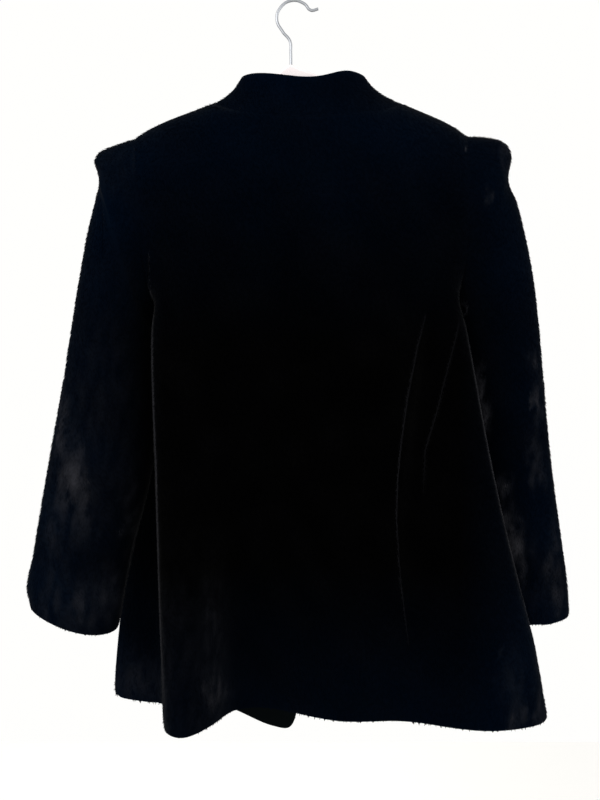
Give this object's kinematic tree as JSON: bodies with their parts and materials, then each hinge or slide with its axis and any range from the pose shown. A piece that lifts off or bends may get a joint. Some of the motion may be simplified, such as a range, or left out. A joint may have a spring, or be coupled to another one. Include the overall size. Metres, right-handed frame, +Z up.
{
  "type": "faux fur jacket on a hanger",
  "caption": "Short black faux fur jacket with a stand collar, set-in sleeves and a flared hem with soft folds, hanging on a flat hanger with a wire hook.",
  "frame": {"origin": "inside the top of the hanger's hook, where a rail or a wall hook carries it", "axes": "+Z up, -Y out of the jacket's back, which faces the viewer, +X to the viewer's right, which is the wearer's right"},
  "size_m": [0.616, 0.1603, 0.856],
  "materials": {
    "black_fur": "short dense pile",
    "pale_hanger": "smooth",
    "bright_wire": "bright"
  },
  "bodies": {
    "root": {"back": "black_fur", "left_front": "black_fur", "right_front": "black_fur", "collar": "black_fur", "left_sleeve": "black_fur", "right_sleeve": "black_fur", "hanger_bar": "pale_hanger", "hanger_hook": "bright_wire"}
  },
  "joints": []
}
